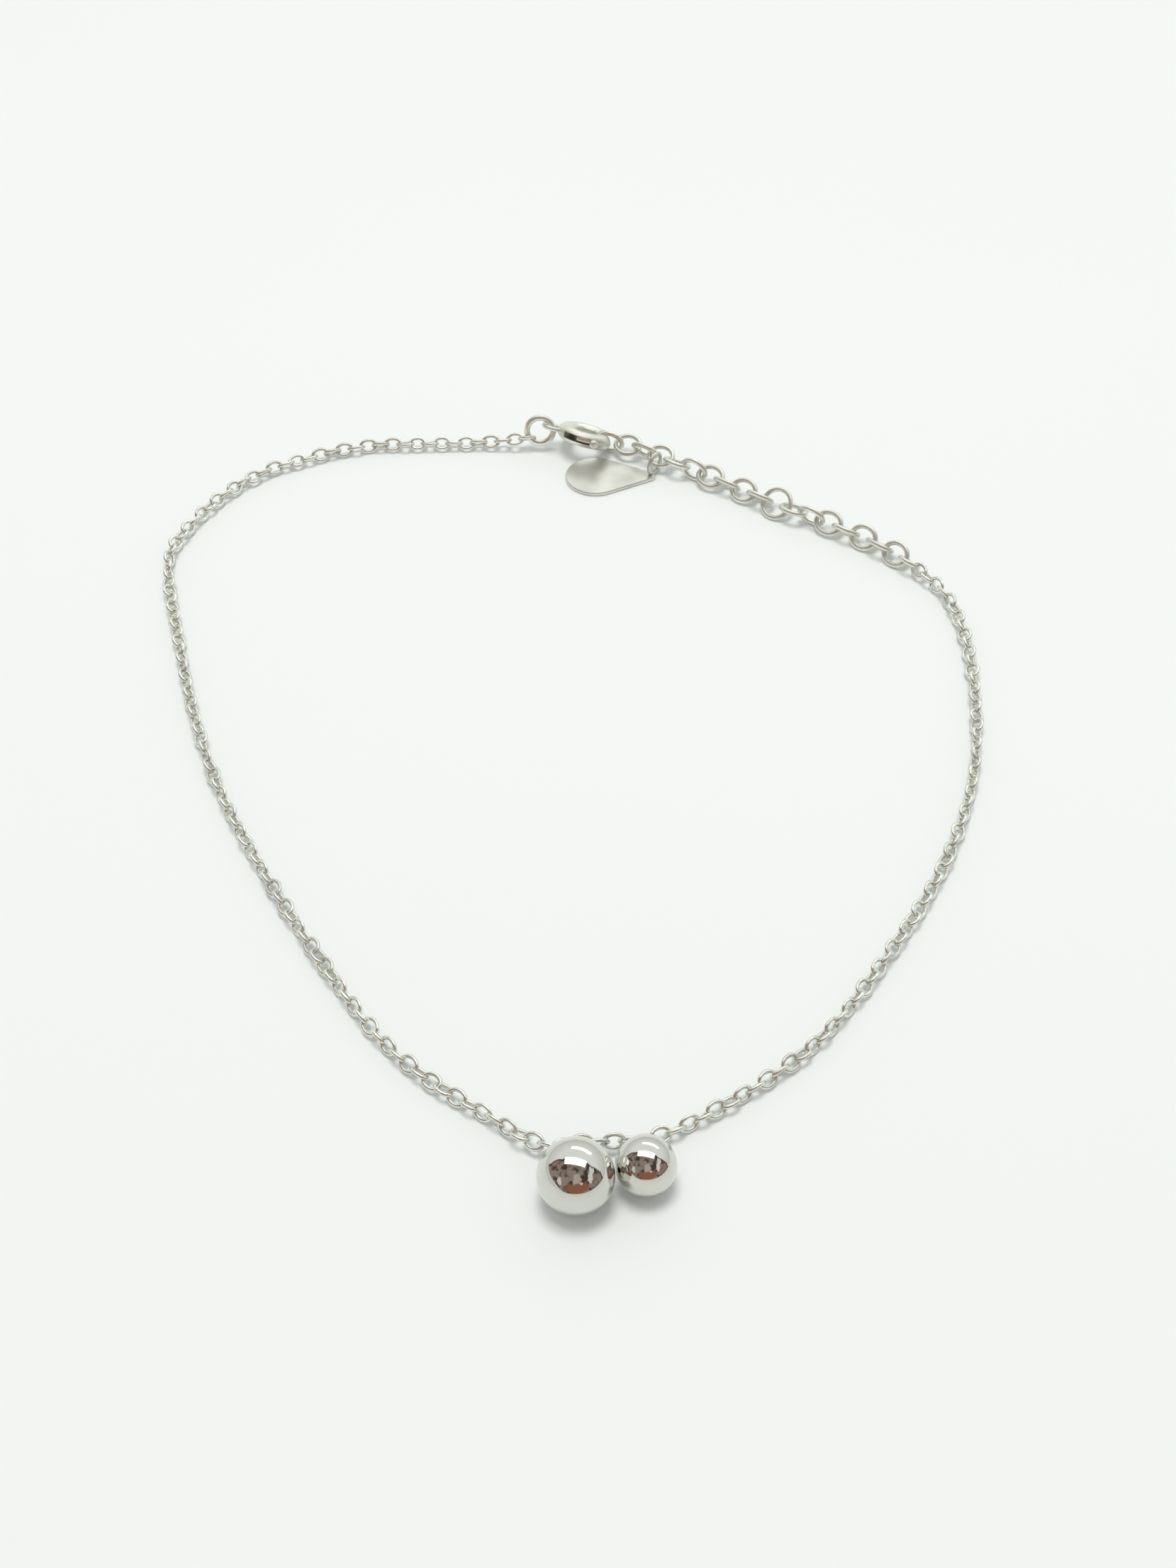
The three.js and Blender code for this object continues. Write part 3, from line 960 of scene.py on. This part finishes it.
class ANKLET_OT_extender(AnkletPiece, bpy.types.Operator):
    """Make the extender's row of larger oval links"""

    bl_idname = "anklet.extender"
    bl_label = "Extender"

    def execute(self, context):
        sizes = context.scene.anklet_sizes
        tumbled = metal("tumbled_silver")
        route = extender_route()
        points = [route.point(reach) for reach in extender_reaches(sizes)]
        rolls = [90 - roll for roll in EXTENDER_ROLLS]
        line = line_of("extender_line", points, rolls)
        mesh = chain_mesh(line, chain_tree(), {
            "Links": len(points),
            "Sides Around": 40,
            "Sides Across": 14,
            "Seed": 0,
            "Link Length": sizes.extender_length,
            "Link Width": sizes.extender_width,
            "Wide Link": WIDE_LINK,
            "Wide Size": sizes.wide_link,
            "Wire": sizes.extender_wire,
            "Turn": 0.0,
            "Twist": 0.0,
            "Metal": tumbled,
        })
        nodes = [f"extender_link_{i + 1:02d}" for i in range(len(points))]
        finished("extender_links", mesh, tumbled, "anklet", nodes)
        return {"FINISHED"}


class ANKLET_OT_rings(AnkletPiece, bpy.types.Operator):
    """Make the jump ring at the clasp and the small ring at the extender's end"""

    bl_idname = "anklet.rings"
    bl_label = "Rings"

    def execute(self, context):
        sizes = context.scene.anklet_sizes
        tumbled = metal("tumbled_silver")
        matrix = clasp_ring_matrix()
        radius = CLASP_RING_RADIUS
        shape = wire_ring(radius, radius, CLASP_RING_WIRE / 2, matrix, around=64, across=20)
        mesh = mesh_from("jump_ring", shape)
        to_frame(mesh)
        finished("jump_ring", mesh, tumbled, "anklet", ["clasp_ring"])

        route = extender_route()
        reach = end_ring_reach(sizes)
        along = route.direction(reach)
        matrix = basis(route.point(reach), along, facing(along, END_RING_ROLL))
        radius = END_RING_RADIUS
        shape = wire_ring(radius, radius, END_RING_WIRE / 2, matrix, around=56, across=16)
        mesh = mesh_from("extender_end_ring", shape)
        to_frame(mesh)
        finished("extender_end_ring", mesh, tumbled, "anklet", ["end_ring"])
        return {"FINISHED"}


def slot_tool():
    """A flat curved block that cuts the bolt's slot through the clasp's outer wall."""
    start = KNOB_ANGLE + SLOT_SPARE
    end = KNOB_ANGLE - BOLT_TRAVEL - SLOT_SPARE
    steps = 30
    points = []
    for height in (-SLOT_WIDTH / 2, SLOT_WIDTH / 2):
        for radius in (CLASP_RADIUS, CLASP_RADIUS + 2 * CLASP_TUBE):
            for i in range(steps + 1):
                points.append(in_clasp(radius, start + (end - start) * i / steps) + UP * height)
    row = steps + 1
    faces = []
    for i in range(steps):
        inner, outer, inner_top, outer_top = i, row + i, 2 * row + i, 3 * row + i
        faces.append((inner, outer, outer + 1, inner + 1)[::-1])
        faces.append((inner_top, outer_top, outer_top + 1, inner_top + 1))
        faces.append((outer, outer_top, outer_top + 1, outer + 1)[::-1])
        faces.append((inner, inner_top, inner_top + 1, inner + 1))
    for i in (0, steps):
        wall = (i, row + i, 3 * row + i, 2 * row + i)
        faces.append(wall[::-1] if i else wall)
    return points, [face[::-1] for face in faces]


class ANKLET_OT_clasp_body(AnkletPiece, bpy.types.Operator):
    """Make the clasp's hollow ring with its slot and its soldered eye"""

    bl_idname = "anklet.clasp_body"
    bl_label = "Clasp Body"

    def execute(self, context):
        tumbled = metal("tumbled_silver")
        shell = arc_tube(CLASP_RADIUS, MOUTH_TO, MOUTH_FROM + 360, CLASP_TUBE, 110, 36, rim=0.06)
        bore = arc_tube(CLASP_RADIUS, BORE_END, MOUTH_FROM + 1, CLASP_BORE, 60, 28)
        hollow = cut(shell, bore, slot_tool())
        hollow_points = [vertex.co.copy() for vertex in hollow.vertices]
        hollow_faces = [tuple(polygon.vertices) for polygon in hollow.polygons]
        bpy.data.meshes.remove(hollow)
        matrix = Matrix.Translation(in_clasp(eye_distance(), 180))
        eye = wire_ring(EYE_RADIUS, EYE_RADIUS, EYE_WIRE / 2, matrix, around=56, across=18)
        mesh = mesh_from("clasp_ring_body", merged((hollow_points, hollow_faces), eye))
        mesh.transform(clasp_matrix())
        to_frame(mesh)
        finished("clasp_ring_body", mesh, tumbled, "anklet", ["clasp_body"], crease=35)
        return {"FINISHED"}


class ANKLET_OT_clasp_bolt(AnkletPiece, bpy.types.Operator):
    """Make the clasp's sliding bolt and its thumb knob"""

    bl_idname = "anklet.clasp_bolt"
    bl_label = "Clasp Bolt"

    def execute(self, context):
        tumbled = metal("tumbled_silver")
        rod = arc_tube(CLASP_RADIUS, BOLT_TAIL, MOUTH_TO - BOLT_TIP_GAP, BOLT_RADIUS, 60, 28, rim=0.1)
        head_start = CLASP_RADIUS + CLASP_TUBE + KNOB_CLEARANCE
        stem_foot = in_clasp(CLASP_RADIUS, KNOB_ANGLE)
        stem_top = in_clasp(head_start + KNOB_LENGTH / 2, KNOB_ANGLE)
        stem = rounded_rod(stem_foot, stem_top, KNOB_STEM, rim=0.02, sides=24)
        head_foot = in_clasp(head_start, KNOB_ANGLE)
        head_top = in_clasp(head_start + KNOB_LENGTH, KNOB_ANGLE)
        head = rounded_rod(head_foot, head_top, KNOB_HEAD, rim=0.14, sides=32)
        mesh = mesh_from("bolt_and_knob", merged(rod, stem, head))
        mesh.transform(clasp_matrix())
        to_frame(mesh)
        finished("bolt_and_knob", mesh, tumbled, "clasp_bolt", ["clasp_bolt"], crease=50)
        return {"FINISHED"}


def tag_outline(steps):
    """The drop's outline about the middle of its round end: two arcs and the straight sides."""
    tip = Vector((TAG_TIP[0] - TAG_PLACE[0], TAG_TIP[1] - TAG_PLACE[1]))
    spread = math.acos((TAG_ROUND - TAG_TIP_RADIUS) / tip.length)
    heading = math.atan2(tip.y, tip.x)
    outline = []
    for i in range(steps + 1):
        angle = heading + spread + (2 * math.pi - 2 * spread) * i / steps
        outline.append((Vector((0, 0)), TAG_ROUND, angle))
    for i in range(steps // 2 + 1):
        angle = heading - spread + 2 * spread * i / (steps // 2)
        outline.append((tip, TAG_TIP_RADIUS, angle))
    return outline


def tag_plate(thickness):
    """A flat plate of the drop's outline with its edges rounded."""
    outline = tag_outline(72)
    rim = 0.1
    flat_edge = 0.03
    rows = 6
    slopes = [math.pi / 2 * k / rows for k in range(rows + 1)]
    low = [(-rim - flat_edge, 0.0)]
    low += [(-rim * (1 - math.sin(s)), rim * (1 - math.cos(s))) for s in slopes]
    levels = [*low, *((inset, thickness - height) for inset, height in reversed(low))]
    count = len(outline)
    points = []
    for inset, height in levels:
        for centre, radius, angle in outline:
            reach = radius + inset
            points.append(Vector((
                centre.x + reach * math.cos(angle),
                centre.y + reach * math.sin(angle),
                height,
            )))
    faces = []
    for i in range(len(levels) - 1):
        for j in range(count):
            beside = (j + 1) % count
            faces.append((i * count + j, i * count + beside, (i + 1) * count + beside, (i + 1) * count + j))
    faces.append(tuple(reversed(range(count))))
    faces.append(tuple(range(len(points) - count, len(points))))
    return points, faces


class ANKLET_OT_tag(AnkletPiece, bpy.types.Operator):
    """Make the drop tag and the bail that is soldered on its tip"""

    bl_idname = "anklet.tag"
    bl_label = "Drop Tag"

    def execute(self, context):
        sizes = context.scene.anklet_sizes
        brushed = metal("brushed_silver")
        route = extender_route()
        reach = extender_reaches(sizes)[TAG_LINK]
        along = route.direction(reach)
        across = facing(along, EXTENDER_ROLLS[TAG_LINK]).cross(along).normalized()
        half_width = (sizes.extender_width - sizes.extender_wire) / MM / 2
        near_wire = route.point(reach) - across * half_width
        level = Vector((along.x, along.y, 0)).normalized()
        away = Vector((-level.y, level.x, 0))
        bail_centre = near_wire - away * BAIL_SET_BACK
        bail_centre.z = BAIL_RADIUS + BAIL_WIRE / 2 + FLOOR_GAP
        matrix = basis(bail_centre, away, level)
        bail = wire_ring(BAIL_RADIUS, BAIL_RADIUS, BAIL_WIRE / 2, matrix, around=56, across=16)
        points, faces = tag_plate(sizes.tag_thickness / MM)
        place = Vector((*TAG_PLACE, 0))
        plate = ([point + place for point in points], faces)
        mesh = mesh_from("drop_tag", merged(plate, bail))
        to_frame(mesh)
        finished("drop_tag", mesh, brushed, "anklet", ["tag"], crease=40)
        return {"FINISHED"}


def add_camera():
    data = bpy.data.cameras.new("camera")
    data.lens = CAMERA_LENS
    data.sensor_width = 36
    data.clip_start = 0.01
    data.clip_end = 20
    camera = link_in("camera", data)
    camera.location = (Vector(CAMERA_PLACE) - LOOP_MIDDLE) * MM
    camera.rotation_euler = (math.radians(90 - CAMERA_DOWN), 0, 0)
    bpy.context.scene.camera = camera


def add_light(name, place, aim, size, glow, turn, spares):
    """A soft panel of an even glow, turned in its own plane by some degrees."""
    data = bpy.data.lights.new(name, "AREA")
    data.shape = "RECTANGLE"
    data.size = size[0]
    data.size_y = size[1]
    data.energy = glow * math.pi * size[0] * size[1]
    data.color = PANEL_COLOR
    lamp = link_in(name, data)
    lamp.location = place
    aimed = (Vector(aim) - Vector(place)).to_track_quat("-Z", "Y").to_matrix()
    lamp.rotation_euler = (aimed @ Matrix.Rotation(math.radians(turn), 3, "Z")).to_euler()
    setattr(lamp, spares, False)


def vector_math(finish, operation, *values, output=0):
    inputs = {i: value for i, value in enumerate(values)}
    return finish.node("ShaderNodeVectorMath", {"operation": operation}, inputs, output=output)


def shaken_way(finish, way):
    """The direction looked in, shifted a little here and there so that edges in the room waver."""
    noise = {"Vector": way, "Scale": 4.0, "Detail": 2.0}
    shift = finish.node("ShaderNodeTexNoise", None, noise, output=1)
    centred = vector_math(finish, "SUBTRACT", shift, (0.5, 0.5, 0.5))
    return vector_math(finish, "MULTIPLY_ADD", centred, (0.35, 0.35, 0.35), way)


def spot(finish, way, aim, reach):
    """1 where the direction is within reach of aim on each axis, and 0 outside it."""
    away = vector_math(finish, "SUBTRACT", way, aim)
    scaled = vector_math(finish, "DIVIDE", away, reach)
    return vector_math(finish, "LENGTH", scaled, output=1).between(1.1, 0.85)


def mirrored_room(finish, way, edge):
    """Dim blotches with a few warm and pale patches, darkest along the room's edge."""
    blotch = finish.noise(way, 2.4, 3)
    room = finish.mix(blotch.between(0.44, 0.54), ROOM_DARK, ROOM_LIGHT)
    shaken = shaken_way(finish, way)
    for aim, reach, color in ROOM_SPOTS:
        room = finish.mix(spot(finish, shaken, aim, reach), room, solid_color(color))
    return finish.mix(edge.between(0.12, 0.02), room, ROOM_EDGE)


def set_world():
    """Even pale light on the table; bright metal also mirrors a pale wall and a dimmer warm room."""
    world = bpy.data.worlds.new("studio")
    bpy.context.scene.world = world
    finish = Finish(world)
    way = finish.node("ShaderNodeTexCoord", output=0)
    x = finish.node("ShaderNodeSeparateXYZ", None, {0: way}, output=0)
    z = finish.node("ShaderNodeSeparateXYZ", None, {0: way}, output=2)
    wobble = finish.noise(way, 2.2, 2)
    edge = vector_math(finish, "DOT_PRODUCT", way, ROOM_WAY, output=1) + wobble * 0.3
    left_sill = (x * -1.0).between(0.5, 0.9) * 0.17
    in_room = edge.between(0.0, 0.03) * (z - left_sill).between(0.0, 0.02)
    wall = finish.mix(z.between(0.0, 0.6), WALL_LOW, WALL_HIGH)
    mirrored = finish.mix(in_room, wall, mirrored_room(finish, way, edge))
    glossy = finish.node("ShaderNodeLightPath", output=3)
    color = finish.mix(glossy, TABLE_LIGHT, mirrored)
    sky = finish.node("ShaderNodeBackground", None, {"Color": color, "Strength": 1.0})
    finish.node("ShaderNodeOutputWorld", None, {"Surface": sky})


class ANKLET_OT_stage(AnkletPiece, bpy.types.Operator):
    """Set up the table, the lights and the camera"""

    bl_idname = "anklet.stage"
    bl_label = "Stage"

    def execute(self, context):
        colors = context.scene.anklet_colors
        sides = [(-1, -1), (1, -1), (1, 1), (-1, 1)]
        corners = [(x * TABLE_REACH, y * TABLE_REACH, -TABLE_DROP) for x, y in sides]
        mesh = mesh_from("table", (corners, [(0, 1, 2, 3)]))
        mesh.materials.append(table_top(colors.table))
        link_in("table", mesh)
        set_world()
        for light in LIGHTS:
            add_light(*light)
        add_camera()
        context.scene.view_settings.view_transform = "Standard"
        return {"FINISHED"}


STEPS = (
    ANKLET_OT_stage,
    ANKLET_OT_balls,
    ANKLET_OT_ball_links,
    ANKLET_OT_fine_chains,
    ANKLET_OT_extender,
    ANKLET_OT_rings,
    ANKLET_OT_clasp_body,
    ANKLET_OT_clasp_bolt,
    ANKLET_OT_tag,
)


class ANKLET_PT_panel(bpy.types.Panel):
    """Lists the anklet's pieces and the sizes that can be changed"""

    bl_idname = "ANKLET_PT_panel"
    bl_label = "Chain Anklet"
    bl_space_type = "VIEW_3D"
    bl_region_type = "UI"
    bl_category = "Anklet"

    def draw(self, context):
        layout = self.layout
        for group in (context.scene.anklet_sizes, context.scene.anklet_colors):
            column = layout.column()
            for name in group.__annotations__:
                column.prop(group, name)
        for step in STEPS:
            layout.operator(step.bl_idname)


CLASSES = (AnkletSizes, AnkletColors, *STEPS, ANKLET_PT_panel)


def register():
    for cls in CLASSES:
        bpy.utils.register_class(cls)
    bpy.types.Scene.anklet_sizes = PointerProperty(type=AnkletSizes)
    bpy.types.Scene.anklet_colors = PointerProperty(type=AnkletColors)


def unregister():
    del bpy.types.Scene.anklet_colors
    del bpy.types.Scene.anklet_sizes
    for cls in reversed(CLASSES):
        bpy.utils.unregister_class(cls)


def main():
    register()
    for step in STEPS:
        group, name = step.bl_idname.split(".")
        getattr(getattr(bpy.ops, group), name)()


if __name__ == "__main__":
    main()
